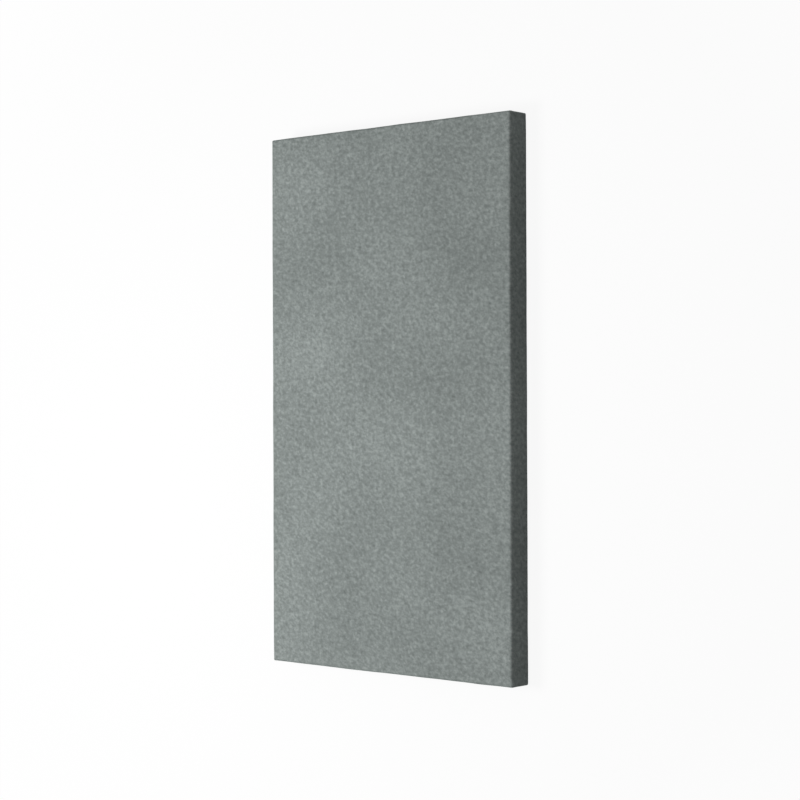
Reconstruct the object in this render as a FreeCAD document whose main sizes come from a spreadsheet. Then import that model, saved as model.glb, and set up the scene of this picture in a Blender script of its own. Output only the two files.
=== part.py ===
"""Fabric acoustic wall panel: a rigid glass-wool board wrapped in one piece of woven cloth.

Millimetres. The panel lies on its back: the covered front faces +Z, the length runs along Y and
the width along X. The origin is the middle of the back, on the plane that the hems rest on.

The cloth covers the front and the four edges and turns 50 mm on to the back. At each corner the
cloth of the long edge is tucked under the cloth of the short edge, and the short hem is folded to
a mitre over the long hem. The wool gives way under these double layers, so the board has shallow
pressed seats there and the outside stays flat.
"""

import os

import FreeCAD
import Part
import Sketcher

SIZES = {
    "panel_width": 610,
    "panel_length": 1067,
    "board_thickness": 50,
    "cloth_thickness": 1,
    "hem_width": 50,
    "corner_radius": 5,
    "front_bend_radius": 3.5,
    "back_bend_radius": 2.5,
    "bend_clearance": 0.3,
    "tuck_width": 25,
    "lap_width": 20,
    "tuck_margin": 1,
    "seat_clearance": 0.3,
    "fold_setback": 2,
    "crease_width": 0.8,
    "crease_depth": 0.6,
}

# Lengths that follow from the sizes above, as expressions for the sheet.
PANEL_THICKNESS = "(sizes.board_thickness + 2 * sizes.cloth_thickness)"
BOARD_TOP = "(sizes.board_thickness + sizes.cloth_thickness)"
HALF_WIDTH = "(sizes.panel_width / 2)"
HALF_LENGTH = "(sizes.panel_length / 2)"
HALF_WIDTH_INSIDE = "(sizes.panel_width / 2 - sizes.cloth_thickness)"
HALF_LENGTH_INSIDE = "(sizes.panel_length / 2 - sizes.cloth_thickness)"
TUCK_LOW = "(sizes.back_bend_radius + sizes.tuck_margin)"
TUCK_HIGH = f"({PANEL_THICKNESS} - sizes.front_bend_radius - sizes.tuck_margin)"


def new_document():
    """The document, with its driving dimensions in a sheet of aliased cells."""
    document = FreeCAD.newDocument("acoustic_wall_panel")
    sheet = document.addObject("Spreadsheet::Sheet", "sizes")
    for row, (name, value) in enumerate(SIZES.items(), start=1):
        sheet.set(f"A{row}", name)
        sheet.set(f"B{row}", str(value))
        sheet.setAlias(f"B{row}", name)
    document.recompute()
    return document


def new_body(document, label):
    body = document.addObject("PartDesign::Body", label)
    body.Label = label
    return body


def origin_plane(body, role):
    return next(f for f in body.Origin.OriginFeatures if f.Role == role)


def new_sketch(body, name, height="0"):
    """A sketch on the body's XY plane, lifted to a height."""
    sketch = body.newObject("Sketcher::SketchObject", name)
    sketch.AttachmentSupport = (origin_plane(body, "XY_Plane"), "")
    sketch.MapMode = "FlatFace"
    sketch.setExpression("AttachmentOffset.Base.z", height)
    return sketch


def bind(sketch, constraint, name, expression):
    """Adds a dimension to a sketch and ties it to the sheet."""
    sketch.renameConstraint(sketch.addConstraint(constraint), name)
    sketch.setExpression(f"Constraints.{name}", expression)


def number(sketch, expression):
    return float(sketch.evalExpression(expression))


def bind_point(sketch, name, geometry, point, x, y):
    """Dimensions one end of a line from the origin."""
    across = Sketcher.Constraint("DistanceX", -1, 1, geometry, point, number(sketch, x))
    along = Sketcher.Constraint("DistanceY", -1, 1, geometry, point, number(sketch, y))
    bind(sketch, across, f"{name}_x", x)
    bind(sketch, along, f"{name}_y", y)


def polygon(sketch, corners):
    """A closed outline of straight lines through corners given as pairs of expressions."""
    points = [FreeCAD.Vector(number(sketch, x), number(sketch, y), 0) for x, y in corners]
    count = len(points)
    for i in range(count):
        sketch.addGeometry(Part.LineSegment(points[i], points[(i + 1) % count]))
    for i in range(count):
        sketch.addConstraint(Sketcher.Constraint("Coincident", i, 2, (i + 1) % count, 1))
    for i, (x, y) in enumerate(corners):
        bind_point(sketch, f"corner_{i}", i, 1, x, y)


def rectangle(sketch, x_low, x_high, y_low, y_high):
    polygon(sketch, [(x_low, y_low), (x_high, y_low), (x_high, y_high), (x_low, y_high)])


def rounded_rectangle(sketch, half_width, half_length, radius):
    """A rectangle about the origin with its four corners rounded."""
    a, b, r = (number(sketch, e) for e in (half_width, half_length, radius))
    ends = [
        ((-a + r, -b), (a - r, -b)),
        ((a, -b + r), (a, b - r)),
        ((a - r, b), (-a + r, b)),
        ((-a, b - r), (-a, -b + r)),
    ]
    for start, end in ends:
        sketch.addGeometry(Part.LineSegment(FreeCAD.Vector(*start, 0), FreeCAD.Vector(*end, 0)))
    # The arc after each side ends on the next side, a quarter turn on.
    quarter = FreeCAD.Units.Quantity("90 deg").getValueAs("rad").Value
    centres = [(a - r, -b + r), (a - r, b - r), (-a + r, b - r), (-a + r, -b + r)]
    for i, centre in enumerate(centres):
        circle = Part.Circle(FreeCAD.Vector(*centre, 0), FreeCAD.Vector(0, 0, 1), r)
        sketch.addGeometry(Part.ArcOfCircle(circle, (i - 1) * quarter, i * quarter))
    for i in range(4):
        arc = 4 + i
        sketch.addConstraint(Sketcher.Constraint("Tangent", i, 2, arc, 1))
        sketch.addConstraint(Sketcher.Constraint("Tangent", arc, 2, (i + 1) % 4, 1))
        sketch.addConstraint(Sketcher.Constraint("Horizontal" if i % 2 == 0 else "Vertical", i))
        if i:
            sketch.addConstraint(Sketcher.Constraint("Equal", 4, arc))
    bind(sketch, Sketcher.Constraint("Radius", 4, r), "radius", radius)
    for name, kind, side, distance, expression in (
        ("right", "DistanceX", 1, a, half_width),
        ("back", "DistanceY", 2, b, half_length),
    ):
        bind(sketch, Sketcher.Constraint(kind, -1, 1, side, 1, distance), name, expression)
    for name, kind, side, distance, expression in (
        ("left", "DistanceX", 3, a, half_width),
        ("near", "DistanceY", 0, b, half_length),
    ):
        bind(sketch, Sketcher.Constraint(kind, side, 1, -1, 1, distance), name, expression)


def edge_and_bend(sketch, wall, start, radius):
    """A path down a wall from a height, then round a quarter bend to end level at the bottom."""
    y, z, r = (number(sketch, e) for e in (wall, start, radius))
    quarter = FreeCAD.Units.Quantity("90 deg").getValueAs("rad").Value
    sketch.addGeometry(Part.LineSegment(FreeCAD.Vector(y, z, 0), FreeCAD.Vector(y, r, 0)))
    circle = Part.Circle(FreeCAD.Vector(y - r, r, 0), FreeCAD.Vector(0, 0, 1), r)
    sketch.addGeometry(Part.ArcOfCircle(circle, -quarter, 0))
    sketch.addConstraint(Sketcher.Constraint("Vertical", 0))
    sketch.addConstraint(Sketcher.Constraint("Tangent", 0, 2, 1, 2))
    bind_point(sketch, "start", 0, 1, wall, start)
    bind(sketch, Sketcher.Constraint("Radius", 1, r), "radius", radius)
    bind_point(sketch, "end", 1, 1, f"{wall} - {radius}", "0")


def pad(body, name, sketch, length):
    """Adds the sketch's outline, upwards by a length."""
    feature = body.newObject("PartDesign::Pad", name)
    feature.Profile = sketch
    feature.setExpression("Length", length)
    return feature


def pocket(body, name, sketch, length):
    """Cuts the sketch's outline, upwards by a length."""
    feature = body.newObject("PartDesign::Pocket", name)
    feature.Profile = sketch
    feature.Reversed = True
    feature.setExpression("Length", length)
    return feature


def edges_at(shape, height, reach):
    """Names of the level edges at a height that lie within reach of the panel's outline."""
    names = []
    for i, edge in enumerate(shape.Edges, start=1):
        box = edge.BoundBox
        level = abs(box.ZMin - height) < 1e-6 and abs(box.ZMax - height) < 1e-6
        outside = max(
            abs(box.Center.x) - shape.BoundBox.XMax, abs(box.Center.y) - shape.BoundBox.YMax
        )
        if level and outside > -reach:
            names.append(f"Edge{i}")
    return names


def round_edges(body, name, height, radius, reach):
    """Fillets the level edges at a height, all the way round the panel."""
    body.Document.recompute()
    base = body.Tip
    feature = body.newObject("PartDesign::Fillet", name)
    feature.Base = (base, edges_at(base.Shape, number(base, height), number(base, reach)))
    feature.setExpression("Radius", radius)
    return feature


def at_four_corners(body, name, features):
    """Repeats features made at the +X +Y corner at the other three corners."""
    across = body.newObject("PartDesign::Mirrored", f"{name}_across")
    across.MirrorPlane = (origin_plane(body, "YZ_Plane"), [""])
    along = body.newObject("PartDesign::Mirrored", f"{name}_along")
    along.MirrorPlane = (origin_plane(body, "XZ_Plane"), [""])
    pattern = body.newObject("PartDesign::MultiTransform", name)
    pattern.Originals = features
    pattern.Transformations = [across, along]
    body.Tip = pattern
    return pattern


def tuck_outline(sketch, play, outer_y):
    """The cloth of the long edge where it runs on under the short edge, grown by a play."""
    end_x = f"({HALF_WIDTH} - sizes.corner_radius)"
    rectangle(
        sketch,
        f"{end_x} - sizes.tuck_width - {play}",
        f"{end_x} + {play}",
        f"{HALF_LENGTH_INSIDE} - sizes.cloth_thickness",
        outer_y,
    )


def lap_outline(sketch, play):
    """The long hem where it runs on under the mitred end of the short hem, grown by a play."""
    near = "(sizes.back_bend_radius + sizes.tuck_margin)"
    far = "sizes.hem_width"
    x_line = f"{HALF_WIDTH} - {near} + {play}"
    x_tip = f"{HALF_WIDTH} - {far} - {play}"
    polygon(
        sketch,
        [
            (x_line, f"{HALF_LENGTH} - {near} + {play}"),
            (f"{HALF_WIDTH} - {near} - sizes.lap_width - {play}", f"{HALF_LENGTH} - {near} + {play}"),
            (x_tip, f"{HALF_LENGTH} - {far} + sizes.lap_width + {play}"),
            (x_tip, f"{HALF_LENGTH} - {far} - {play}"),
        ],
    )


def core_board(document):
    """The glass-wool board, eased where the cloth bends over it and pressed in under the folds."""
    body = new_body(document, "core_board")
    outline = new_sketch(body, "board_outline", "sizes.cloth_thickness")
    rounded_rectangle(
        outline,
        HALF_WIDTH_INSIDE,
        HALF_LENGTH_INSIDE,
        "sizes.corner_radius - sizes.cloth_thickness + sizes.bend_clearance",
    )
    pad(body, "board", outline, "sizes.board_thickness")
    round_edges(
        body,
        "eased_front",
        BOARD_TOP,
        "sizes.front_bend_radius - sizes.cloth_thickness + sizes.bend_clearance",
        "sizes.corner_radius",
    )
    round_edges(
        body,
        "eased_back",
        "sizes.cloth_thickness",
        "sizes.back_bend_radius - sizes.cloth_thickness + sizes.bend_clearance",
        "sizes.corner_radius",
    )
    play = "sizes.seat_clearance"
    tuck_seat = new_sketch(body, "tuck_seat_outline", f"{TUCK_LOW} - {play}")
    tuck_outline(tuck_seat, play, HALF_LENGTH)
    lap_seat = new_sketch(body, "lap_seat_outline", "0")
    lap_outline(lap_seat, play)
    seats = [
        pocket(body, "tuck_seat", tuck_seat, f"{TUCK_HIGH} - {TUCK_LOW} + 2 * {play}"),
        pocket(body, "lap_seat", lap_seat, "2 * sizes.cloth_thickness"),
    ]
    at_four_corners(body, "seats", seats)
    return body


def add_double_layers(body):
    """The hidden second layer of cloth at each corner, on the edge and on the back."""
    tuck = new_sketch(body, "tuck_outline", TUCK_LOW)
    tuck_outline(tuck, "0", f"{HALF_LENGTH} - sizes.cloth_thickness / 2")
    lap = new_sketch(body, "lap_outline", "sizes.cloth_thickness / 2")
    lap_outline(lap, "0")
    layers = [
        pad(body, "tuck", tuck, f"{TUCK_HIGH} - {TUCK_LOW}"),
        pad(body, "lap", lap, "1.5 * sizes.cloth_thickness"),
    ]
    at_four_corners(body, "double_layers", layers)


def edge_crease(body, line_x):
    """A groove down the short edge and round the back bend, as deep everywhere as on the flat."""
    start = f"({PANEL_THICKNESS} - sizes.front_bend_radius)"
    half = "sizes.crease_width / 2"
    profile = new_sketch(body, "edge_crease_profile", start)
    rectangle(
        profile,
        f"{line_x} - {half}",
        f"{line_x} + {half}",
        f"{HALF_LENGTH} - sizes.crease_depth",
        f"{HALF_LENGTH} + sizes.crease_depth",
    )
    path = body.newObject("Sketcher::SketchObject", "edge_crease_path")
    path.AttachmentSupport = (origin_plane(body, "YZ_Plane"), "")
    path.MapMode = "FlatFace"
    path.setExpression("AttachmentOffset.Base.z", line_x)
    edge_and_bend(path, HALF_LENGTH, start, "sizes.back_bend_radius")
    body.Document.recompute()
    groove = body.newObject("PartDesign::SubtractivePipe", "edge_crease")
    groove.Profile = profile
    groove.Spine = (path, ["Edge1", "Edge2"])
    return groove


def mitre_crease(body, line_x):
    """A groove from the end of the edge crease to the corner of the window in the back."""
    half = "sizes.crease_width / 2"
    start_y = f"{HALF_LENGTH} - sizes.back_bend_radius"
    window_x = f"{HALF_WIDTH} - sizes.hem_width"
    window_y = f"{HALF_LENGTH} - sizes.hem_width - {half}"
    outline = new_sketch(body, "mitre_crease_outline")
    polygon(
        outline,
        [
            (f"{line_x} - {half}", start_y),
            (f"{window_x} - {half}", window_y),
            (f"{window_x} + {half}", window_y),
            (f"{line_x} + {half}", start_y),
        ],
    )
    return pocket(body, "mitre_crease", outline, "sizes.crease_depth")


def cut_creases(body):
    """The lines where the folded edge of the short side lies on the cloth of the long side."""
    line_x = f"({HALF_WIDTH} - sizes.corner_radius - sizes.fold_setback)"
    at_four_corners(body, "creases", [edge_crease(body, line_x), mitre_crease(body, line_x)])


def fabric_cover(document):
    """The wrapped cloth: front, four edges and hems, one layer thick except at the corner folds."""
    body = new_body(document, "fabric_cover")
    outline = new_sketch(body, "cover_outline")
    rounded_rectangle(outline, HALF_WIDTH, HALF_LENGTH, "sizes.corner_radius")
    pad(body, "wrapped_block", outline, PANEL_THICKNESS)
    inside = new_sketch(body, "inside_outline", "sizes.cloth_thickness")
    rounded_rectangle(
        inside, HALF_WIDTH_INSIDE, HALF_LENGTH_INSIDE, "sizes.corner_radius - sizes.cloth_thickness"
    )
    pocket(body, "inside", inside, "sizes.board_thickness")
    window = new_sketch(body, "window_outline")
    window_x = f"({HALF_WIDTH} - sizes.hem_width)"
    window_y = f"({HALF_LENGTH} - sizes.hem_width)"
    rectangle(window, f"-{window_x}", window_x, f"-{window_y}", window_y)
    pocket(body, "window", window, "sizes.cloth_thickness")

    # The inner bends come first: a sharp inside corner would break through the rounded outside.
    reach = "sizes.corner_radius"
    inner_front = "sizes.front_bend_radius - sizes.cloth_thickness"
    inner_back = "sizes.back_bend_radius - sizes.cloth_thickness"
    round_edges(body, "inner_front_bend", BOARD_TOP, inner_front, reach)
    round_edges(body, "inner_back_bend", "sizes.cloth_thickness", inner_back, reach)
    round_edges(body, "front_bend", PANEL_THICKNESS, "sizes.front_bend_radius", reach)
    round_edges(body, "back_bend", "0", "sizes.back_bend_radius", reach)

    add_double_layers(body)
    cut_creases(body)
    return body


def check(document, bodies):
    """Stops on a failed feature, a cut or pad that changed nothing, or a broken solid."""
    failed = [o.Label for o in document.Objects if {"Invalid", "Error"} & set(o.State)]
    if failed:
        raise RuntimeError(f"features failed: {failed}")
    for body in bodies:
        shape = body.Shape
        if shape.isNull() or not shape.isValid() or len(shape.Solids) != 1:
            raise RuntimeError(f"{body.Label} isn't one valid solid")
        before = 0.0
        for feature in body.Group:
            if not hasattr(feature, "BaseFeature") or feature.Shape.isNull():
                continue
            volume = feature.Shape.Volume
            if abs(volume - before) < 1e-3:
                raise RuntimeError(f"{feature.Label} changed nothing")
            before = volume


def main():
    document = new_document()
    bodies = [core_board(document), fabric_cover(document)]
    document.recompute()
    check(document, bodies)
    os.makedirs("parts", exist_ok=True)
    for body in bodies:
        body.Shape.exportStep(f"parts/{body.Label}.step")
        box = body.Shape.optimalBoundingBox(False, False)
        print(
            f"{body.Label}: {box.XLength:.1f} x {box.YLength:.1f} x {box.ZLength:.1f} mm,"
            f" from z {box.ZMin:.2f}, {body.Shape.Volume / 1000:.1f} cm3"
        )


main()
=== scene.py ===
# The looks of a fabric acoustic wall panel: cloth stretched over a glass-wool board.
# Metres. The panel lies on its back: front +Z, length along Y, width along X.
import math
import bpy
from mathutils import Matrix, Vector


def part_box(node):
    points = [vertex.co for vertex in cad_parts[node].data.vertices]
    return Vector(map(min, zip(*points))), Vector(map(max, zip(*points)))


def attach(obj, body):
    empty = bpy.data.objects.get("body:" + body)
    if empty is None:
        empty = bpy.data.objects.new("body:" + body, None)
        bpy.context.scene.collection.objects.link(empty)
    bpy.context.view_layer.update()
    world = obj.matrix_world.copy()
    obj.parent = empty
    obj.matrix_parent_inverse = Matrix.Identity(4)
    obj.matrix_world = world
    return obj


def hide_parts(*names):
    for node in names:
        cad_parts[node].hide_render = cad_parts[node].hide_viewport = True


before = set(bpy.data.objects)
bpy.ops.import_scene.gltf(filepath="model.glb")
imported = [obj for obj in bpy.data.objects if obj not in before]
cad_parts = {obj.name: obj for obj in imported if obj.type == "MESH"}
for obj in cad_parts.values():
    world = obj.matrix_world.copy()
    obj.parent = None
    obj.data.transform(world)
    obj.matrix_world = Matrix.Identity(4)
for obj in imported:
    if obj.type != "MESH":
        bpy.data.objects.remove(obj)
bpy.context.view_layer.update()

from types import SimpleNamespace

import bmesh
import bpy
import numpy as np
from mathutils import Matrix, Vector

MM = 0.001
PICTURE = 800

# The cover's outside, from the frame where it can be
HALF_X, HALF_Y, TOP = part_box("fabric_cover")[1]
BOARD_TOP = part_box("core_board")[1].z
CLOTH = TOP - BOARD_TOP
HEM = 50 * MM
CORNER = 3 * MM
FRONT_BEND = 5 * MM
BACK_BEND = 2.5 * MM
FOLD_SETBACK = 4 * MM
YARN_PITCH = 1.15 * MM

# The corner fold runs down the short edge at FOLD_X, then to the window's corner in the back
FOLD_X = HALF_X - CORNER - FOLD_SETBACK
EDGE_END_Y = HALF_Y - CORNER
WINDOW_X = HALF_X - HEM
WINDOW_Y = HALF_Y - HEM

# The folded edge seen end on: how far past the fold line, and how far below its top
LIP = [
    (-2.6 * MM, 0.0),
    (-1.5 * MM, 0.0),
    (-0.8 * MM, 0.03 * MM),
    (-0.3 * MM, 0.12 * MM),
    (0.0, 0.3 * MM),
    (0.05 * MM, 0.48 * MM),
    (-0.15 * MM, 0.62 * MM),
    (-0.7 * MM, 0.68 * MM),
]
LIP_INSIDE_END = -0.2 * MM
LIP_START_SIZE = 0.25
MITRE_WIDENING = 1.45
FOLD_RISE = 14 * MM

# The flap is the short edge's own cloth, the tongue the long edge's cloth tucked under it
FLAP_MARGIN = 6 * MM
FLAP_SWELL = 0.35 * MM
SWELL_REACH = 15 * MM
TONGUE_DROP = 0.72 * MM
TONGUE_STARTS = (0.1 * MM, 0.5 * MM, 1.1 * MM)
TONGUE_SETTLES_BY = 0.25
WALL_DROP_REACH = 4 * MM
BACK_DROP_REACH = 9 * MM

# The mesh: rows of points down the section, columns round a corner, and the front's grid
FRONT_BEND_ROWS = 7
EDGE_ROWS = 10
BACK_BEND_ROWS = 5
HEM_ROWS = 10
CORNER_COLUMNS = 7
GRID_STEP = 6 * MM
GRID_MARGIN = 1.5 * MM
GRID_END_Y = HALF_Y - FRONT_BEND - GRID_MARGIN
CLOTH_MERGE = 0.002 * MM

# Relief: the height, wavelength and seed of its waves
CLOTH_WAVES = ((0.14 * MM, 170 * MM, 1), (0.05 * MM, 45 * MM, 2))
EDGE_WAVES = (0.12 * MM, 75 * MM, 3)
CUT_EDGE_WAVES = (0.6 * MM, 38 * MM, 4)
CUT_EDGE_POWER = 4
CUT_EDGE_CALM = 25 * MM
WAVE_SPREAD = (0.7, 1.6)
WAVE_COUNT = 28


def smooth_noise(points, wavelength, seed, waves=WAVE_COUNT):
    """Rolling relief about zero with a spread of 1, from waves in seeded random directions."""
    rng = np.random.default_rng(seed)
    direction = rng.normal(size=(waves, 3))
    direction /= np.linalg.norm(direction, axis=1)[:, None]
    lengths = wavelength * rng.uniform(*WAVE_SPREAD, waves)
    phase = rng.uniform(0, 2 * math.pi, waves)
    angle = points @ (direction / lengths[:, None]).T * 2 * math.pi + phase
    return np.cos(angle).sum(-1) / math.sqrt(waves / 2)


def spread(start, end, step):
    """Numbers from start to end, as evenly spaced as the step allows."""
    return np.linspace(start, end, max(1, round(abs(end - start) / step)) + 1)


def after(start, end, count):
    """Evenly spaced numbers up to the end, with the start left out."""
    return np.linspace(start, end, count + 1)[1:]


def ease(share):
    share = np.clip(share, 0, 1)
    return share * share * (3 - 2 * share)


def bump_of(distance, reach):
    return np.exp(-((distance / reach) ** 2))


def section():
    """The cloth's path from the flat front over the edge to the cut edge of the hem, by rows.

    inset is measured from the outline, run along the cloth; level and up are the outward
    normal's parts; share goes from 0 to 1 along the hem.
    """
    rows = []
    for angle in np.linspace(0, math.pi / 2, FRONT_BEND_ROWS):
        level, up = math.sin(angle), math.cos(angle)
        inset, height = FRONT_BEND * (1 - level), TOP - FRONT_BEND * (1 - up)
        rows.append((inset, height, FRONT_BEND * angle, level, up, 0.0))
    wall_top, start = TOP - FRONT_BEND, rows[-1][2]
    for height in after(wall_top, BACK_BEND, EDGE_ROWS):
        rows.append((0.0, height, start + wall_top - height, 1.0, 0.0, 0.0))
    start = rows[-1][2]
    for angle in after(0, math.pi / 2, BACK_BEND_ROWS):
        level, up = math.cos(angle), -math.sin(angle)
        inset, height = BACK_BEND * (1 - level), BACK_BEND * (1 + up)
        rows.append((inset, height, start + BACK_BEND * angle, level, up, 0.0))
    start = rows[-1][2]
    for share in after(0, 1, HEM_ROWS):
        run = (HEM - BACK_BEND) * share
        rows.append((BACK_BEND + run, 0.0, start + run, 0.0, -1.0, share))
    inset, height, run, level, up, share = np.array(rows).T
    back = np.clip(-up, 0, 1)
    centre = np.maximum(inset, CORNER)
    # The fold opens from nothing at the front's corner, over the bend
    opening = np.clip(run / (FRONT_BEND * math.pi / 2), 0, 1)
    rise = np.where(back > 0, 1.0, ease((TOP - FRONT_BEND - height) / FOLD_RISE))
    return SimpleNamespace(
        inset=inset,
        height=height,
        run=run,
        level=level,
        up=up,
        share=share,
        back=back,
        on_hem=share > 0,
        last_bend=int(np.argmax(share > 0)) - 1,
        centre=centre,
        opening=opening,
        fold_x=np.where(
            share > 0,
            FOLD_X - (FOLD_X - WINDOW_X) * share,
            HALF_X - centre - FOLD_SETBACK * opening,
        ),
        end_y=np.where(share > 0, EDGE_END_Y - (EDGE_END_Y - WINDOW_Y) * share, HALF_Y - centre),
        rise=rise,
        fold_size=(LIP_START_SIZE + (1 - LIP_START_SIZE) * rise) * opening,
        short_run=HALF_Y - FRONT_BEND + run,
        long_run=HALF_X - FRONT_BEND + run,
        swell=FLAP_SWELL * (1 - back) * ease((TOP - FRONT_BEND - height) / FOLD_RISE),
    )


class Band:
    """The cover's edge and hem over one quarter of the outline, column by column."""

    def __init__(self, rows):
        self.rows = rows
        self.points, self.normals, self.inner, self.flat, self.offset = [], [], [], [], []

    def add(self, x, y, out, inner_x, u, v, offset):
        rows = self.rows
        normal = np.stack([rows.level * out[0], rows.level * out[1], rows.up], 1)
        x, y, inner_x, u, v = (np.broadcast_to(a, rows.run.shape) for a in (x, y, inner_x, u, v))
        self.points.append(np.stack([x, y, rows.height], 1))
        self.normals.append(normal)
        self.inner.append(np.stack([inner_x, y, rows.height], 1) - CLOTH * normal)
        self.flat.append(np.stack([u, v, 0 * u], 1))
        self.offset.append(offset)

    def add_flap(self):
        """The short edge's own cloth, up to its folded edge."""
        rows = self.rows
        y = HALF_Y - rows.inset
        for at in spread(0, FOLD_X - FLAP_MARGIN, GRID_STEP):
            x = at * rows.fold_x / FOLD_X
            swell = rows.swell * bump_of(rows.fold_x - x, SWELL_REACH)
            self.add(x, y, (0, 1), x, x, rows.short_run, swell)
        size = rows.fold_size * np.where(rows.on_hem, MITRE_WIDENING, 1)
        inner_steps = np.linspace(LIP[0][0], LIP_INSIDE_END, len(LIP))
        tip, tip_below = max(LIP)
        for (past, below), inner_past in zip(LIP, inner_steps):
            # Beyond its tip the cloth turns under, but only where the fold stands proud
            if below > tip_below:
                past = tip + (past - tip) * rows.rise
            x = rows.fold_x + past * size
            inner_x = rows.fold_x + inner_past * size
            self.add(x, y, (0, 1), inner_x, x, rows.short_run, rows.swell - below * rows.rise)

    def add_tongue(self):
        """The long edge's cloth where it comes round the corner and goes under the flap."""
        rows = self.rows
        y = HALF_Y - rows.inset
        centre = rows.centre
        radius = centre - rows.inset
        # The yarns meet at the corner over the front bend, and run straight down below it
        flat_radius = np.where(rows.opening < 1, radius, CORNER)
        columns = []
        for start in TONGUE_STARTS:
            x = rows.fold_x + start * rows.fold_size
            v = rows.end_y + flat_radius * math.pi / 2 + HALF_X - centre - x
            columns.append((np.stack([x, y], 1), (0, 1), start, v))
        for turn in np.linspace(0, math.pi / 2, CORNER_COLUMNS + 1)[:-1]:
            out = (math.sin(turn), math.cos(turn))
            point = np.stack([HALF_X - centre + radius * out[0], HALF_Y - centre + radius * out[1]], 1)
            v = rows.end_y + flat_radius * (math.pi / 2 - turn)
            columns.append((point, out, FOLD_SETBACK + CORNER * turn, v))

        fold = np.stack([rows.fold_x, y], 1)
        end = np.stack([HALF_X - rows.inset, rows.end_y], 1)
        last = rows.last_bend
        chord = end[last] - fold[last]
        on_hem = rows.on_hem[:, None]
        settle = np.clip(1 - rows.share / TONGUE_SETTLES_BY, 0, 1)[:, None]
        settled = np.where(rows.on_hem, 1 - settle[:, 0], 0)
        for point, out, distance, v in columns:
            along = (point[last] - fold[last]) @ chord / (chord @ chord)
            straight = fold + along * (end - fold)
            bow = point[last] - straight[last]
            start_y = point[last, 1]
            point = np.where(on_hem, straight + bow * settle, point)
            beside = np.abs((point - fold) @ np.array([1, -1])) / math.sqrt(2)
            wall_drop = bump_of(distance, WALL_DROP_REACH) * rows.rise
            drop = wall_drop * (1 - rows.back) + bump_of(beside, BACK_DROP_REACH) * rows.back
            u = rows.long_run + (HALF_X - rows.inset - point[:, 0]) * settled
            v = np.where(rows.on_hem, v[last] + point[:, 1] - start_y, v)
            v = v + (point[:, 1] - v) * settled
            offset = rows.swell * wall_drop - TONGUE_DROP * drop
            self.add(point[:, 0], point[:, 1], out, point[:, 0], u, v, offset)

    def add_long_edge(self):
        rows = self.rows
        x = HALF_X - rows.inset
        slope = (HALF_Y - BACK_BEND - WINDOW_Y) / (FOLD_X - WINDOW_X)
        mitre_y = WINDOW_Y + (x - WINDOW_X) * slope
        for at in spread(EDGE_END_Y, 0, GRID_STEP):
            y = at * rows.end_y / EDGE_END_Y
            beside = np.maximum(mitre_y - y, 0) / math.sqrt(2)
            drop = bump_of(beside, BACK_DROP_REACH) * rows.back
            self.add(x, y, (1, 0), x, rows.long_run, y, -TONGUE_DROP * drop)


def whole_band(rows):
    """The four quarters joined into one loop of columns, and what each quarter's columns are."""
    quarter = Band(rows)
    quarter.add_flap()
    flap_end = len(quarter.points)
    quarter.add_tongue()
    long_start = len(quarter.points)
    quarter.add_long_edge()
    parts = [np.array(a) for a in (quarter.points, quarter.normals, quarter.inner, quarter.flat)]
    offset = np.array(quarter.offset)
    count = len(offset)
    loops = [[], [], [], [], []]
    corners = []
    for sign_x, sign_y, forward in ((1, 1, True), (1, -1, False), (-1, -1, True), (-1, 1, False)):
        order = np.arange(count) if forward else np.arange(count)[::-1]
        start = sum(len(a) for a in loops[0])
        # The last column of each quarter is the first of the next
        order = order[:-1]
        for loop, part in zip(loops, parts):
            loop.append(part[order] * (sign_x, sign_y, 1))
        loops[-1].append(offset[order])
        corners.append((sign_x, sign_y, start, forward))
    points, normals, inner, flat, offset = (np.concatenate(a) for a in loops)
    return SimpleNamespace(
        points=points,
        normals=normals,
        inner=inner,
        flat=flat,
        offset=offset,
        quarter=count,
        flap_end=flap_end,
        long_start=long_start,
        corners=corners,
    )


def relief(points, normals):
    """How far the cloth stands proud of or below its true surface over the uneven wool."""
    total = sum(height * smooth_noise(points, length, seed) for height, length, seed in CLOTH_WAVES)
    height, length, seed = EDGE_WAVES
    total = total + height * smooth_noise(points, length, seed) * (1 - np.abs(normals[..., 2]))
    # The hem rests on the floor, so it only ever lies above it
    return np.where(normals[..., 2] < -0.5, -np.abs(total), total)


def wavy_cut_edge(points, rows):
    """Moves the last rows of the hem in and out a little, as a cut made by hand."""
    height, length, seed = CUT_EDGE_WAVES
    amount = height * smooth_noise(points[:, -1], length, seed)[:, None] * rows.share**CUT_EDGE_POWER
    corner = np.array([WINDOW_X, WINDOW_Y])
    from_corner = np.abs(np.abs(points[..., :2]) - corner).sum(-1)
    amount = amount * np.clip(from_corner / CUT_EDGE_CALM, 0, 1)
    to_long = (HALF_X - np.abs(points[..., 0])) < (HALF_Y - np.abs(points[..., 1]))
    shift = np.zeros_like(points)
    shift[..., 0] = np.where(to_long, np.sign(points[..., 0]) * amount, 0)
    shift[..., 1] = np.where(to_long, 0, np.sign(points[..., 1]) * amount)
    return shift


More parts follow.
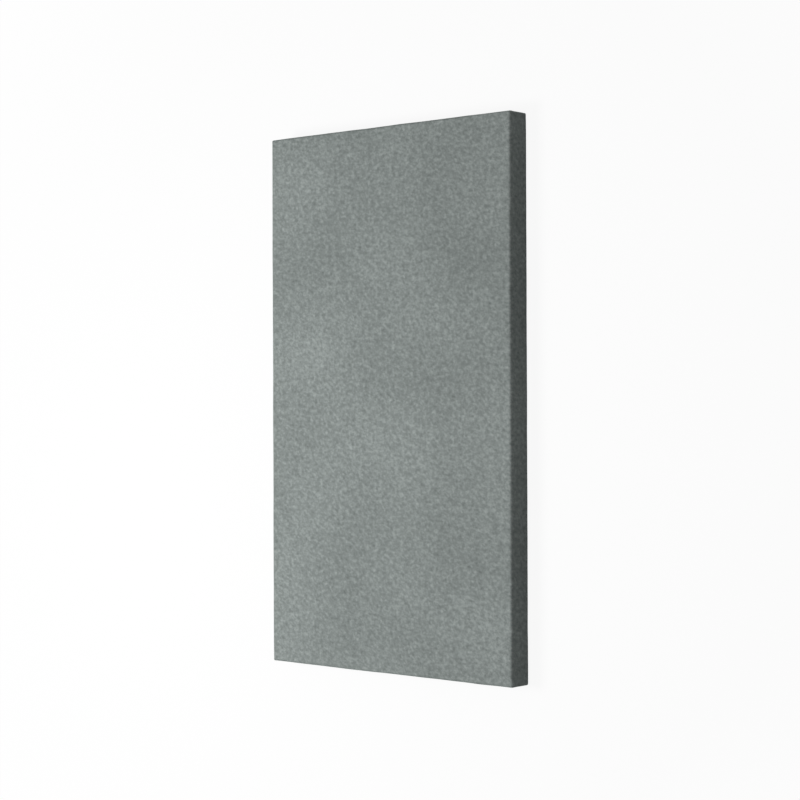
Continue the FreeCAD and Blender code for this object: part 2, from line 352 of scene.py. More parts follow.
class Skin:
    """One side of the cloth as numbered vertices: the band's loop, then the front's grid."""

    def __init__(self, band, front_z, band_points, first):
        self.first = first
        self.columns, self.row_count = band_points.shape[:2]
        xs = band.points[: band.flap_end - len(LIP), 0, 0]
        long_columns = band.quarter - band.long_start
        ys = GRID_END_Y * (1 - np.arange(long_columns) / (long_columns - 1))
        self.half_x, self.half_y = len(xs) - 1, len(ys) - 1
        xs = np.concatenate([-xs[:0:-1], xs])
        ys = np.concatenate([-ys[:-1], ys[::-1]])
        self.grid = np.zeros((len(xs), len(ys), 3))
        self.grid[..., 0] = xs[:, None]
        self.grid[..., 1] = ys[None, :]
        self.grid[..., 2] = front_z
        self.grid_shape = self.grid.shape[:2]
        self.count = self.columns * self.row_count + len(xs) * len(ys)

    def at_band(self, column, row):
        return self.first + (column % self.columns) * self.row_count + row

    def at_grid(self, i, j):
        return self.first + self.columns * self.row_count + i * self.grid_shape[1] + j

    def faces(self, band, outward):
        faces = []
        for c in range(self.columns):
            for r in range(self.row_count - 1):
                quad = [(c, r), (c + 1, r), (c + 1, r + 1), (c, r + 1)]
                faces.append([self.at_band(*q) for q in quad])
        nx, ny = self.grid_shape
        for i in range(nx - 1):
            for j in range(ny - 1):
                quad = [(i, j), (i + 1, j), (i + 1, j + 1), (i, j + 1)]
                faces.append([self.at_grid(*q) for q in quad])
        faces += self.strips_and_corners(band)
        return faces if outward else [f[::-1] for f in faces]

    def strips_and_corners(self, band):
        """Joins the front's grid to the band's first row, in each quarter."""
        faces = []
        flap = band.flap_end - len(LIP)
        last = band.quarter - 1
        for sign_x, sign_y, start, forward in band.corners:

            def edge(k):
                return self.at_band(start + (k if forward else last - k), 0)

            def inside(i, j):
                return self.at_grid(self.half_x + sign_x * i, self.half_y + sign_y * j)

            made = []
            for k in range(flap - 1):
                made.append([inside(k, self.half_y), inside(k + 1, self.half_y), edge(k + 1), edge(k)])
            for k in range(self.half_y):
                a, b = band.long_start + k, band.long_start + k + 1
                y = self.half_y - k
                made.append([inside(self.half_x, y), inside(self.half_x, y - 1), edge(b), edge(a)])
            corner = [inside(self.half_x, self.half_y)]
            corner += [edge(k) for k in range(band.long_start, flap - 2, -1)]
            made.append(corner)
            faces += made if forward else [f[::-1] for f in made]
        return faces


def new_object(name, vertices, faces, material):
    mesh = bpy.data.meshes.new(name)
    mesh.from_pydata([tuple(v) for v in vertices], [], faces)
    mesh.update()
    made = bpy.data.objects.new(name, mesh)
    bpy.context.scene.collection.objects.link(made)
    mesh.materials.append(material)
    return made


def merge_touching(mesh, distance):
    work = bmesh.new()
    work.from_mesh(mesh)
    bmesh.ops.remove_doubles(work, verts=work.verts, dist=distance)
    bmesh.ops.dissolve_degenerate(work, edges=work.edges, dist=distance)
    work.to_mesh(mesh)
    work.free()


def shade_smooth(mesh):
    mesh.polygons.foreach_set("use_smooth", [True] * len(mesh.polygons))


def store_vectors(mesh, name, vectors):
    attribute = mesh.attributes.new(name, "FLOAT_VECTOR", "POINT")
    attribute.data.foreach_set("vector", np.asarray(vectors, np.float32).ravel())


def wrapped_cloth(material):
    """The cover as one closed sheet: outside, inside and the cut edge of the hem between them."""
    rows = section()
    band = whole_band(rows)
    shift = wavy_cut_edge(band.points, rows)
    proud = band.offset + relief(band.points, band.normals)
    outer_band = band.points + band.normals * proud[..., None] + shift
    inner_band = band.inner + shift
    outer = Skin(band, TOP, outer_band, 0)
    inner = Skin(band, TOP - CLOTH, inner_band, outer.count)
    grid_up = np.broadcast_to(np.array([0.0, 0.0, 1.0]), outer.grid.shape)
    outer_grid = outer.grid + grid_up * relief(outer.grid, grid_up)[..., None]

    faces = outer.faces(band, outward=True) + inner.faces(band, outward=False)
    for c in range(outer.columns):
        r = outer.row_count - 1
        quad = [outer.at_band(c, r), outer.at_band(c + 1, r), inner.at_band(c + 1, r)]
        faces.append(quad + [inner.at_band(c, r)])
    points = [outer_band, outer_grid, inner_band, inner.grid]
    # Where each point lies on the cloth as cut, and how deep in it
    flat = [band.flat, outer.grid * (1, 1, 0)]
    flat = np.concatenate([a.reshape(-1, 3) for a in flat])
    flat = np.concatenate([flat, flat - (0, 0, CLOTH)])
    vertices = np.concatenate([a.reshape(-1, 3) for a in points])
    cloth = new_object("wrapped_cloth", vertices, faces, material)
    store_vectors(cloth.data, "cloth_flat", flat)
    merge_touching(cloth.data, CLOTH_MERGE)
    shade_smooth(cloth.data)
    # From the outline to the cut edge, along the middle of the cloth's thickness
    reach = rows.run[-1] - FRONT_BEND - CLOTH * math.pi / 2
    add_bake_map(cloth.data, reach)
    cut_edge = (outer_band[:, -1] + inner_band[:, -1]) / 2
    return cloth, reach, cut_edge


# The map that the cloth is baked on
BAKE_MARGIN = 8 * MM
RIM_STRIP = 3 * MM
INSIDE_SCALE = 0.065


def numbers_of(items, name, kind, width=1):
    """One property of all of a mesh's items, as one row of numbers."""
    values = np.zeros(len(items) * width, kind)
    items.foreach_get(name, values)
    return values


def add_bake_map(mesh, reach):
    """A map with the outside laid out as it was cut, and the hidden inside small in a free corner."""
    flat = numbers_of(mesh.attributes["cloth_flat"].data, "vector", np.float32, 3).reshape(-1, 3)
    spots = flat[numbers_of(mesh.loops, "vertex_index", np.int32)]
    sizes = numbers_of(mesh.polygons, "loop_total", np.int32)
    face = np.repeat(np.arange(len(sizes)), sizes)
    deep = spots[:, 2] < -CLOTH / 2
    inside = (np.bincount(face, deep) == sizes)[face]
    spots = spots[:, :2]
    half = np.array([HALF_X, HALF_Y])
    beyond = np.abs(spots) - half
    outward = np.sign(spots) * (beyond == beyond.max(1, keepdims=True))
    # The cut edge's faces lie just past the hem
    spots = spots + outward * RIM_STRIP * (deep & ~inside)[:, None]
    spots = np.where(inside[:, None], spots * INSIDE_SCALE + half + reach / 2, spots)
    layer = mesh.uv_layers.new(name="OFBake")
    layer.data.foreach_set("uv", (0.5 + spots / 2 / (half + reach + BAKE_MARGIN)).ravel())


# The board, just clear of the cloth round it
BOARD_CLEARANCE = 0.05 * MM
BOARD_CORNER = CORNER - CLOTH
BOARD_FRONT_BEND = FRONT_BEND - CLOTH
BOARD_BACK_BEND = BACK_BEND - CLOTH
BOARD_GRID = 3.5 * MM
BOARD_MERGE = 0.001 * MM
BOARD_FRONT_ROWS = 5
BOARD_BACK_ROWS = 4
BOARD_CORNER_TURNS = (22.5, 45, 67.5)

# Its bare back: lumps, flocks and tufts, by height, wavelength, seed and number of waves
WOOL_WAVES = ((0.16 * MM, 38 * MM, 11, 28), (0.13 * MM, 13 * MM, 12, 40), (0.08 * MM, 7 * MM, 13, 40))
BULGE = 0.45 * MM
MOST_BULGE = 0.92 * MM
BULGE_MARGIN = 7 * MM


def exposed(x, y, margin):
    """1 on the bare back inside the hems, falling to 0 at their cut edges."""
    inside = np.minimum(WINDOW_X - np.abs(x), WINDOW_Y - np.abs(y))
    return ease(inside / margin)


def board_relief(points):
    """How far the bare wool bulges out between the hems, uneven with its matted fibres."""
    bulge = BULGE
    for height, length, seed, waves in WOOL_WAVES:
        bulge = bulge + height * smooth_noise(points, length, seed, waves)
    return np.clip(bulge, 0, MOST_BULGE) * exposed(points[..., 0], points[..., 1], BULGE_MARGIN)


def board_profile():
    """The board's edge from its back to its front: how far out from the grid's rim, and how high."""
    rows = []
    for turn in np.linspace(0, math.pi / 2, BOARD_BACK_ROWS):
        out = BOARD_CORNER - BOARD_BACK_BEND * (1 - math.sin(turn))
        rows.append((out, CLOTH + BOARD_BACK_BEND * (1 - math.cos(turn))))
    for turn in np.linspace(0, math.pi / 2, BOARD_FRONT_ROWS):
        out = BOARD_CORNER - BOARD_FRONT_BEND * (1 - math.cos(turn))
        rows.append((out, BOARD_TOP - BOARD_FRONT_BEND * (1 - math.sin(turn))))
    rows.append((0.0, BOARD_TOP))
    return rows


def board_rim(nx, ny):
    """The back grid's rim points in turn, each with the direction it is carried outward."""
    sides = [
        ([i * ny for i in range(nx)], -90),
        ([(nx - 1) * ny + j for j in range(ny)], 0),
        ([i * ny + ny - 1 for i in range(nx - 1, -1, -1)], 90),
        ([j for j in range(ny - 1, -1, -1)], 180),
    ]
    rim = []
    for side, facing in sides:
        rim += [(point, facing) for point in side]
        rim += [(side[-1], facing + turn) for turn in BOARD_CORNER_TURNS]
    return rim


def wool_board(material):
    """The core as one closed block with a matted back."""
    half_x = HALF_X - CLOTH - BOARD_CLEARANCE - BOARD_CORNER
    half_y = HALF_Y - CLOTH - BOARD_CLEARANCE - BOARD_CORNER
    xs, ys = spread(-half_x, half_x, BOARD_GRID), spread(-half_y, half_y, BOARD_GRID)
    nx, ny = len(xs), len(ys)
    grid = np.zeros((nx, ny, 3))
    grid[..., 0], grid[..., 1] = xs[:, None], ys[None, :]
    grid[..., 2] = CLOTH + BOARD_CLEARANCE
    grid[..., 2] -= board_relief(grid)
    grid = grid.reshape(-1, 3)
    vertices = [tuple(p) for p in grid]
    faces = []
    for i in range(nx - 1):
        for j in range(ny - 1):
            corner = i * ny + j
            faces.append((corner, corner + 1, corner + ny + 1, corner + ny))

    rim, profile = board_rim(nx, ny), board_profile()
    first, count = len(vertices), len(rim)
    for out, height in profile:
        for point, facing in rim:
            x, y = grid[point][:2]
            turn = math.radians(facing)
            vertices.append((x + out * math.cos(turn), y + out * math.sin(turn), height))
    for k in range(count):
        ahead = (k + 1) % count
        inner = [rim[k][0]] if rim[k][0] == rim[ahead][0] else [rim[k][0], rim[ahead][0]]
        faces.append(tuple(inner + [first + ahead, first + k]))
        for row in range(len(profile) - 1):
            low, high = first + row * count, first + (row + 1) * count
            faces.append((low + k, low + ahead, high + ahead, high + k))
    faces.append(tuple(first + (len(profile) - 1) * count + k for k in range(count)))
    board = new_object("wool_board", vertices, faces, material)
    merge_touching(board.data, BOARD_MERGE)
    face_outward(board.data)
    shade_smooth(board.data)
    return board


def face_outward(mesh):
    work = bmesh.new()
    work.from_mesh(mesh)
    bmesh.ops.recalc_face_normals(work, faces=work.faces)
    work.to_mesh(mesh)
    work.free()


# Fine hairs have three sides and thin out to this share of their width
HAIR_TIP = 0.45


def hair_mesh(name, paths, widths, material):
    """Many fine three-sided hairs as one mesh. Each path is a row of points."""
    vertices, faces = [], []
    for path, width in zip(paths, widths):
        first = len(vertices)
        steps = len(path)
        along = np.gradient(path, axis=0)
        along /= np.linalg.norm(along, axis=1)[:, None]
        side = np.cross(along, (0.0, 0.0, 1.0))
        side /= np.linalg.norm(side, axis=1)[:, None] + 1e-12
        rise = np.cross(side, along)
        taper = np.linspace(1.0, HAIR_TIP, steps)
        for step in range(steps):
            for corner in range(3):
                turn = corner * 2 * math.pi / 3
                reach = side[step] * math.cos(turn) + rise[step] * math.sin(turn)
                vertices.append(path[step] + reach * width / 2 * taper[step])
        for step in range(steps - 1):
            a = first + 3 * step
            for corner in range(3):
                b = (corner + 1) % 3
                faces.append((a + b, a + corner, a + 3 + corner, a + 3 + b))
        faces.append((first, first + 1, first + 2))
        last = first + 3 * (steps - 1)
        faces.append((last + 2, last + 1, last))
    return new_object(name, vertices, faces, material)


def walk(headings, step):
    """A path of equal steps from the origin, as how far it has gone along and aside."""
    along = np.concatenate([[0], np.cos(headings[:-1]).cumsum()]) * step
    aside = np.concatenate([[0], np.sin(headings[:-1]).cumsum()]) * step
    return along, aside


# Loose fibres: lengths and widths in mm, bends in radians
FIBRES = 2600
FIBRE_SEED = 21
FIBRE_STEPS = 7
FIBRE_LENGTHS = (7, 26)
FIBRE_WIDTHS = (0.07, 0.16)
FIBRE_LIFTS = (-0.05, 0.25)
FIBRE_KINK = 0.22
FIBRE_CURL = 0.16
FIBRE_START_MARGIN = 4 * MM
FIBRE_MARGIN = 2 * MM
FIBRE_ABOVE_WOOL = 0.03 * MM
FIBRE_LOWEST = 0.06 * MM
LIFT_PHASE = 0.3


def loose_fibres(material):
    """Fine glass fibres lying loose on the bare back."""
    rng = np.random.default_rng(FIBRE_SEED)
    start_x, start_y = WINDOW_X - FIBRE_START_MARGIN, WINDOW_Y - FIBRE_START_MARGIN
    phases = np.linspace(LIFT_PHASE, math.pi - LIFT_PHASE, FIBRE_STEPS)
    paths, widths = [], []
    while len(paths) < FIBRES:
        x = rng.uniform(-start_x, start_x)
        y = rng.uniform(-start_y, start_y)
        length = rng.uniform(*FIBRE_LENGTHS) * MM
        heading = rng.uniform(0, 2 * math.pi)
        kinks = rng.normal(0, FIBRE_KINK, FIBRE_STEPS).cumsum()
        turning = kinks + rng.normal(0, FIBRE_CURL) * np.arange(FIBRE_STEPS)
        along, aside = walk(heading + turning, length / (FIBRE_STEPS - 1))
        px, py = x + along, y + aside
        if np.abs(px).max() > WINDOW_X - FIBRE_MARGIN or np.abs(py).max() > WINDOW_Y - FIBRE_MARGIN:
            continue
        points = np.stack([px, py, np.zeros(FIBRE_STEPS)], 1)
        ground = CLOTH - board_relief(points)
        lift = rng.uniform(*FIBRE_LIFTS) * MM * np.sin(phases)
        points[:, 2] = np.maximum(ground - lift - FIBRE_ABOVE_WOOL, FIBRE_LOWEST)
        paths.append(points)
        widths.append(rng.uniform(*FIBRE_WIDTHS) * MM)
    return hair_mesh("loose_fibres", paths, widths, material)


# Yarn ends: lengths, droops and widths in mm, bends in radians
END_SEED = 31
END_STEPS = 5
END_JITTER = 0.3
END_SHORTEST = 0.4
END_LENGTHS = (2.0, 0.55)
END_SWING = 0.35
END_KINK = 0.3
END_DROOPS = (-0.2, 0.3)
END_WIDTHS = (0.18, 0.4)
END_ROOT = 0.4 * MM
END_HEIGHT = 0.4 * MM


def hem_yarn_ends(cut_edge, material):
    """Short ends of yarn that stand out along the hem's cut edge, given as a loop of points."""
    rng = np.random.default_rng(END_SEED)
    loop = np.concatenate([cut_edge, cut_edge[:1]])
    run = np.concatenate([[0], np.linalg.norm(np.diff(loop, axis=0), axis=1).cumsum()])
    paths, widths = [], []
    for at in np.arange(0, run[-1], YARN_PITCH):
        at = (at + rng.normal(0, END_JITTER) * MM) % run[-1]
        start, ahead = (np.array([np.interp(s, run, loop[:, k]) for k in range(2)]) for s in (at, at + MM))
        length = (END_SHORTEST + rng.gamma(*END_LENGTHS)) * MM
        swing, turn = rng.normal(0, END_SWING), rng.normal(0, END_KINK, END_STEPS).cumsum()
        droop, width = rng.uniform(*END_DROOPS) * MM, rng.uniform(*END_WIDTHS) * MM
        along = ahead - start
        along /= np.linalg.norm(along) + 1e-12
        inward = np.array([along[1], -along[0]])
        inward *= -np.sign(inward @ start)
        out, aside = walk(swing + turn, length / (END_STEPS - 1))
        points = np.zeros((END_STEPS, 3))
        points[:, :2] = start + (out - END_ROOT)[:, None] * inward + aside[:, None] * along
        points[:, 2] = END_HEIGHT + droop * np.linspace(0, 1, END_STEPS) ** 2
        paths.append(points)
        widths.append(width)
    return hair_mesh("hem_yarn_ends", paths, widths, material)


class Graph:
    """The nodes of a material or of the world, added and joined in one call each."""

    def __init__(self, owner):
        self.owner = owner
        owner.use_nodes = True
        self.nodes = owner.node_tree.nodes
        self.links = owner.node_tree.links
        self.nodes.clear()

    def add(self, kind, settings=None, **inputs):
        """A node with its inputs set or joined, by name, or by number as i0, i1 and so on."""
        node = self.nodes.new(kind)
        for key, value in (settings or {}).items():
            setattr(node, key, value)
        for key, value in inputs.items():
            socket = node.inputs[int(key[1:]) if key[0] == "i" and key[1:].isdigit() else key]
            if isinstance(value, bpy.types.NodeSocket):
                self.links.new(value, socket)
            else:
                socket.default_value = value
        return node

    def math(self, operation, a, b=0.0, c=0.0):
        return self.add("ShaderNodeMath", {"operation": operation}, i0=a, i1=b, i2=c).outputs[0]

    def vector(self, operation, a, b):
        return self.add("ShaderNodeVectorMath", {"operation": operation}, i0=a, i1=b).outputs[0]

    def point(self, x, y, z):
        return self.add("ShaderNodeCombineXYZ", i0=x, i1=y, i2=z).outputs[0]

    def noise(self, vector, scale, detail=2.0, roughness=0.5):
        inputs = {"Vector": vector, "Scale": scale, "Detail": detail, "Roughness": roughness}
        return self.add("ShaderNodeTexNoise", **inputs)

    def grain(self, vector, scale=1.0, detail=2.0, roughness=0.5):
        return self.noise(vector, scale, detail, roughness).outputs["Fac"]

    def sway(self, vector, reach, scale, detail):
        """A small offset in any direction, up to half the reach along each axis."""
        colour = self.noise(vector, scale, detail).outputs["Color"]
        centred = self.vector("SUBTRACT", colour, (0.5, 0.5, 0.5))
        return self.vector("MULTIPLY", centred, (reach,) * 3)

    def fibres(self, place, turns, stretch, detail, roughness):
        """Fine fibres lying in several directions: at each spot, the strongest of drawn-out noises."""
        strongest = 0.0
        for turn in turns:
            turned = self.add("ShaderNodeMapping", Vector=place, Rotation=(0, 0, turn), Location=(turn,) * 3)
            drawn = self.vector("MULTIPLY", turned.outputs[0], stretch)
            strands = self.grain(drawn, detail=detail, roughness=roughness)
            strongest = self.math("MAXIMUM", strongest, strands)
        return strongest

    def between(self, value, low, high, to_low=0.0, to_high=1.0):
        inputs = dict(zip(("i0", "i1", "i2", "i3", "i4"), (value, low, high, to_low, to_high)))
        return self.add("ShaderNodeMapRange", **inputs).outputs[0]

    def mix(self, share, a, b):
        return self.add("ShaderNodeMix", {"data_type": "RGBA"}, i0=share, i6=a, i7=b).outputs[2]

    def bump(self, height, strength, distance):
        node = self.add("ShaderNodeBump", Strength=strength, Distance=distance, Height=height)
        return node.outputs[0]

    def surface(self, colour, roughness, normal, constants):
        inputs = {"Base Color": colour, "Roughness": roughness, "Normal": normal, **constants}
        return self.finish(self.add("ShaderNodeBsdfPrincipled", **inputs).outputs[0])

    def finish(self, shader, output="ShaderNodeOutputMaterial"):
        self.add(output, Surface=shader)
        return self.owner


def new_graph(name):
    return Graph(bpy.data.materials.new(name))


# The cloth's colours, and the painted shade between its yarns
CLOTH_DARK = (0.122, 0.137, 0.132, 1)
CLOTH_MID = (0.268, 0.296, 0.286, 1)
CLOTH_LIGHT = (0.484, 0.530, 0.514, 1)
# Near black: painted shade for the gaps between the yarns
CLOTH_GAP_SHADE = (0.030, 0.036, 0.034, 1)

# Clouds and mottles in the cloth and in its yarns: noise scale, share of the shade, and detail
CLOUDS = ((5.0, 0.47, 0.0), (14.0, 0.1, 1.0))
MOTTLES = ((60.0, 0.05, 0.0), (126.0, 0.64, 0.0), (235.0, 0.52, 0.0))
YARN_MOTTLES = ((132.0, 0.79, 0.0), (230.0, 0.77, 0.0))
MOTTLE_STRETCH = Vector((0.92, 1.14, 1.0))
SHADE_REACH = 1.0

# Slubs, streaks and wisps: share of the shade, and how far the noise is drawn out
SLUB_SHARE = 0.55
SLUB_STRETCH = (3.7, 0.28, 1.0)
STREAK_SHARE = 0.4
STREAK_STRETCH = (7.0, 0.9, 1.0)
STREAK_SLANT = 0.35
WISP_SHARE = 0.3
WISP_STRETCH = (210.0, 3000.0, 600.0)
WISP_TURNS = (0.55, 1.25, 2.2, 2.75)

# The yarns: how they start, cross, bow and have painted shade between them
YARN_JITTER = 2.4
# Far enough into the noise for the yarns' own mottles to be none of the cloth's
YARN_DEPTH = 83.0
CROSSING = 0.12
CROWN_POWER = 0.6
CROWN_BOW = 0.45
WANDER = 1.8 * MM
SHIVER = 0.45 * MM
# How much wisps lying over the gaps lighten their painted shade
WISP_OVER_GAP_SHADE = -0.15

# What each kind of relief adds to the height of the cloth's bumps
STREAK_HEIGHT = 0.35
FUZZ_HEIGHT = 0.45
FELT_HEIGHT = 1.0
WISP_HEIGHT = 0.5


def yarn_family(g, across, along, crosswise):
    """The warp or the weft: the shade and the fibres of each yarn where it lies on top.

    crosswise turns (across, along) into a place on the cloth.
    """
    yarn = g.math("FLOOR", across)
    start = g.add("ShaderNodeTexWhiteNoise", {"noise_dimensions": "1D"}, W=yarn)
    shifted = g.math("MULTIPLY_ADD", start.outputs["Value"], YARN_JITTER, along)
    ends = (shifted, yarn) if crosswise else (yarn, shifted)
    place = g.vector("MULTIPLY", g.point(*ends, YARN_DEPTH), MOTTLE_STRETCH * YARN_PITCH)
    shade = 0.0
    for scale, share, detail in YARN_MOTTLES:
        shade = g.math("MULTIPLY_ADD", g.grain(place, scale, detail), share, shade)
    slub_place = g.vector("MULTIPLY", g.point(yarn, along, YARN_DEPTH), SLUB_STRETCH)
    slubs = g.grain(slub_place, detail=1.0, roughness=0.6)
    shade = g.math("MULTIPLY_ADD", slubs, SLUB_SHARE, shade)
    slanted = g.math("MULTIPLY_ADD", along, STREAK_SLANT, across)
    fibre_place = g.vector("MULTIPLY", g.point(slanted, along, YARN_DEPTH), STREAK_STRETCH)
    streaks = g.grain(fibre_place, detail=2.0, roughness=0.6)
    shade = g.math("MULTIPLY_ADD", streaks, STREAK_SHARE, shade)
    return shade, streaks


def yarn_crown(g, across, along):
    """The height of a yarn where it lies on top: round across, bowed along."""
    bow = g.math("MULTIPLY_ADD", along, CROWN_BOW, 1 - CROWN_BOW)
    return g.math("MULTIPLY", g.math("POWER", across, CROWN_POWER), bow)


def cloth_material():
    """A heathered plain weave, felted a little, laid out on the cloth's flat-cut coordinates."""
    g = new_graph("heathered_cloth")
    flat = g.add("ShaderNodeAttribute", {"attribute_name": "cloth_flat"}).outputs["Vector"]
    laid = g.vector("ADD", flat, g.sway(flat, WANDER, scale=55.0, detail=1.0))
    shaken = g.vector("ADD", laid, g.sway(flat, SHIVER, scale=600.0, detail=1.0))
    yarns = g.vector("MULTIPLY", shaken, (1 / YARN_PITCH,) * 3)
    parts = g.add("ShaderNodeSeparateXYZ", i0=yarns)
    u, v = parts.outputs[0], parts.outputs[1]

    # Which yarn lies on top, and how high it stands
    wave_u = g.math("SINE", g.math("MULTIPLY", u, math.pi))
    wave_v = g.math("SINE", g.math("MULTIPLY", v, math.pi))
    warp_on_top = g.between(g.math("MULTIPLY", wave_u, wave_v), -CROSSING, CROSSING)
    over_u, over_v = g.math("ABSOLUTE", wave_u), g.math("ABSOLUTE", wave_v)

    def top_yarn(warp, weft):
        return g.add("ShaderNodeMix", i0=warp_on_top, i2=weft, i3=warp).outputs[0]

    height = top_yarn(yarn_crown(g, over_u, over_v), yarn_crown(g, over_v, over_u))
    warp_shade, warp_streaks = yarn_family(g, u, v, False)
    weft_shade, weft_streaks = yarn_family(g, v, u, True)
    streaks = top_yarn(warp_streaks, weft_streaks)

    # Light and dark fibres blended unevenly, from single yarns to broad clouds
    shade = top_yarn(warp_shade, weft_shade)
    # Fine stray fibres are felted over the weave
    wisps = g.fibres(laid, WISP_TURNS, WISP_STRETCH, detail=1.0, roughness=0.6)
    wisps = g.between(wisps, 0.62, 0.82)
    shade = g.math("MULTIPLY_ADD", wisps, WISP_SHARE, shade)
    stretched = g.vector("MULTIPLY", laid, MOTTLE_STRETCH)
    for scale, share, detail in CLOUDS + MOTTLES:
        shade = g.math("MULTIPLY_ADD", g.grain(stretched, scale, detail), share, shade)
    layers = CLOUDS + MOTTLES + YARN_MOTTLES
    middle_shade = (sum(share for _, share, _ in layers) + SLUB_SHARE + STREAK_SHARE) / 2
    shade = g.between(shade, middle_shade - SHADE_REACH, middle_shade + SHADE_REACH)
    ramp = g.add("ShaderNodeValToRGB", i0=shade)
    ramp.color_ramp.elements[0].color = CLOTH_DARK
    ramp.color_ramp.elements[1].color = CLOTH_LIGHT
    ramp.color_ramp.elements.new(0.5).color = CLOTH_MID
    # Painted shade: darker where the yarns sink into the gaps between them, less where wisps lie over these
    gap_shade = g.between(height, low=0.1, high=0.75, to_low=0.32, to_high=0.0)
    gap_shade = g.math("MULTIPLY_ADD", wisps, WISP_OVER_GAP_SHADE, gap_shade)
    colour = g.mix(g.math("MAXIMUM", gap_shade, 0.0), ramp.outputs[0], CLOTH_GAP_SHADE)

    fuzz = g.grain(laid, scale=2600.0, detail=3.0, roughness=0.7)
    felted = g.grain(laid, scale=420.0, detail=2.0)
    layers = ((streaks, STREAK_HEIGHT), (fuzz, FUZZ_HEIGHT), (felted, FELT_HEIGHT), (wisps, WISP_HEIGHT))
    for layer, share in layers:
        height = g.math("MULTIPLY_ADD", layer, share, height)
    normal = g.bump(height, strength=0.5, distance=0.25 * MM)
    roughness = g.between(fuzz, low=0.3, high=0.7, to_low=0.84, to_high=0.98)
    constants = {
        "Specular IOR Level": 0.06,
        "Sheen Weight": 0.15,
        "Sheen Roughness": 0.5,
        "Sheen Tint": (0.55, 0.86, 0.78, 1),
    }
    return g.surface(colour, roughness, normal, constants)


def loose_yarn_material():
    """The cloth's yarn by itself, frayed."""
    g = new_graph("loose_yarn")
    place = g.add("ShaderNodeTexCoord").outputs["Object"]
    shade = g.grain(place, scale=700.0, detail=2.0, roughness=0.7)
    colour = g.mix(g.between(shade, low=0.3, high=0.7), CLOTH_DARK, CLOTH_LIGHT)
    fray = g.grain(place, scale=4000.0, detail=2.0, roughness=0.7)
    normal = g.bump(fray, strength=0.4, distance=0.05 * MM)
    roughness = g.between(fray, low=0.3, high=0.7, to_low=0.8, to_high=0.98)
    return g.surface(colour, roughness, normal, {"Specular IOR Level": 0.2})


# The wool's colours, with painted shade deep between its strands, and how its fibres are bent, turned and
# drawn out
# Darker brown, painted as the shade deep in the mat between the strands
WOOL_DEPTH_SHADE = (0.46, 0.35, 0.12, 1)
WOOL_STRAND = (0.84, 0.73, 0.38, 1)
WOOL_LUMP = (0.60, 0.46, 0.18, 1)
WOOL_FLOCK = (0.80, 0.70, 0.42, 1)
WOOL_BEND = 14 * MM
WOOL_TURNS = (0.2, 0.8, 1.5, 2.1, 2.8)
WOOL_STRETCH = (110.0, 3200.0, 900.0)
LUMP_HEIGHT = 1.2


def wool_material():
    """Resin-bound glass wool: fine fibres matted in all directions."""
    g = new_graph("glass_wool")
    place = g.add("ShaderNodeTexCoord").outputs["Object"]
    bent = g.vector("ADD", place, g.sway(place, WOOL_BEND, scale=45.0, detail=2.0))
    mat = g.fibres(bent, WOOL_TURNS, WOOL_STRETCH, detail=3.0, roughness=0.65)
    lumps = g.grain(place, scale=70.0, detail=4.0, roughness=0.6)
    flocks = g.grain(bent, scale=22.0, detail=3.0, roughness=0.55)
    # Painted shade: darker where the mat sinks between its top strands
    colour = g.mix(g.between(mat, low=0.5, high=0.82), WOOL_DEPTH_SHADE, WOOL_STRAND)
    colour = g.mix(g.between(lumps, low=0.45, high=0.75, to_high=0.4), colour, WOOL_LUMP)
    colour = g.mix(g.between(flocks, low=0.35, high=0.65, to_high=0.3), colour, WOOL_FLOCK)
    normal = g.bump(g.math("MULTIPLY_ADD", lumps, LUMP_HEIGHT, mat), strength=0.7, distance=0.4 * MM)
    roughness = g.between(mat, low=0.5, high=0.85, to_low=0.95, to_high=0.65)
    return g.surface(colour, roughness, normal, {"Specular IOR Level": 0.3})


def seen_directly(g):
    """1 for camera, mirror and see-through rays, so that these see the pale background."""
    rays = g.add("ShaderNodeLightPath")
    shown = g.math("MAXIMUM", rays.outputs["Is Camera Ray"], rays.outputs["Is Glossy Ray"])
    return g.math("MAXIMUM", shown, rays.outputs["Is Transmission Ray"])


# The floor keeps a part of the panel's shadow near it, and none of it far off
WHITE = (1, 1, 1, 1)
FLOOR_Z = -0.2 * MM
FLOOR_HALF = 40.0
FLOOR_NEAR = 0.9
FLOOR_FAR = 1.8
FLOOR_WHITE_SHARE = 0.91
FLOOR_SHADOWED = (0.9, 0.9, 0.9, 1)
FLOOR_UNSEEN = (0.2, 0.2, 0.2, 1)


def floor_material():
    """A pale floor that shows white, apart from a faint shadow round the panel."""
    g = new_graph("floor_pale")
    lit = g.add("ShaderNodeBsdfDiffuse", Color=FLOOR_SHADOWED)
    white = g.add("ShaderNodeEmission", Color=WHITE, Strength=1.0)
    place = g.add("ShaderNodeTexCoord").outputs["Object"]
    away = g.add("ShaderNodeVectorMath", {"operation": "LENGTH"}, i0=place).outputs["Value"]
    share = g.between(away, FLOOR_NEAR, FLOOR_FAR, FLOOR_WHITE_SHARE, 1.0)
    shown = g.add("ShaderNodeMixShader", i0=share, i1=lit.outputs[0], i2=white.outputs[0])
    plain = g.add("ShaderNodeBsdfDiffuse", Color=FLOOR_UNSEEN)
    both = g.add("ShaderNodeMixShader", i0=seen_directly(g), i1=plain.outputs[0], i2=shown.outputs[0])
    return g.finish(both.outputs[0])


def add_floor():
    size, z = FLOOR_HALF, FLOOR_Z
    corners = [(-size, -size, z), (size, -size, z), (size, size, z), (-size, size, z)]
    floor = new_object("floor", corners, [(0, 1, 2, 3)], floor_material())


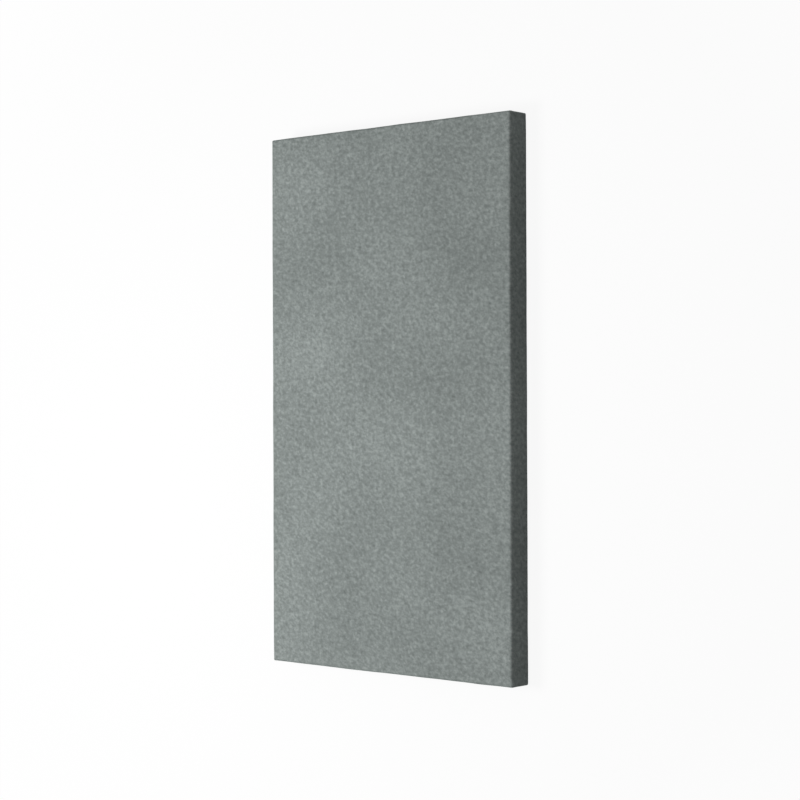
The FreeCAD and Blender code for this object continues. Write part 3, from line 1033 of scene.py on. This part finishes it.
# The light: an even white world and one square lamp
AMBIENT = 0.357
KEY_PLACE = Vector((-1.0, -0.3, 1.93))
KEY_SIZE = 0.8
KEY_POWER = 33.0


def add_world():
    world = bpy.data.worlds.new("studio")
    bpy.context.scene.world = world
    g = Graph(world)
    strength = g.between(seen_directly(g), low=0.0, high=1.0, to_low=AMBIENT, to_high=1.0)
    background = g.add("ShaderNodeBackground", Color=WHITE, Strength=strength)
    g.finish(background.outputs[0], "ShaderNodeOutputWorld")


def add_key_light():
    light = bpy.data.lights.new("key", "AREA")
    light.shape = "SQUARE"
    light.size = KEY_SIZE
    light.energy = KEY_POWER
    lamp = bpy.data.objects.new("key", light)
    lamp.visible_camera = False
    lamp.location = KEY_PLACE
    lamp.rotation_mode = "QUATERNION"
    lamp.rotation_quaternion = (-KEY_PLACE).to_track_quat("-Z", "Y")
    bpy.context.scene.collection.objects.link(lamp)


# The camera, fitted to the photograph's corners: its focal length is in pixels of the picture
EYE = Vector((2.4032, -0.0115, 2.8638))
FORWARD = Vector((-0.64376, 0.0029, -0.76522))
UP = Vector((0.0046, 1.0, 0.0))
FOCAL_PIXELS = 1899.1


def add_camera():
    data = bpy.data.cameras.new("camera")
    data.lens = FOCAL_PIXELS / PICTURE * data.sensor_width
    camera = bpy.data.objects.new("camera", data)
    back = -FORWARD.normalized()
    side = UP.cross(back).normalized()
    up = back.cross(side)
    turn = Matrix((side, up, back)).transposed()
    camera.matrix_world = Matrix.Translation(EYE) @ turn.to_4x4()
    bpy.context.scene.collection.objects.link(camera)
    bpy.context.scene.camera = camera


def main():
    bpy.context.scene.view_settings.view_transform = "Standard"
    add_camera()
    add_world()
    add_key_light()
    add_floor()

    wool_look = wool_material()
    cloth, reach, cut_edge = wrapped_cloth(cloth_material())
    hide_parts("fabric_cover")
    board = wool_board(wool_look)
    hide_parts("core_board")
    fibres = loose_fibres(wool_look)
    yarn_ends = hem_yarn_ends(cut_edge, loose_yarn_material())
    for piece in (cloth, yarn_ends):
        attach(piece, "root")
    for piece in (board, fibres):
        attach(piece, "root")


main()
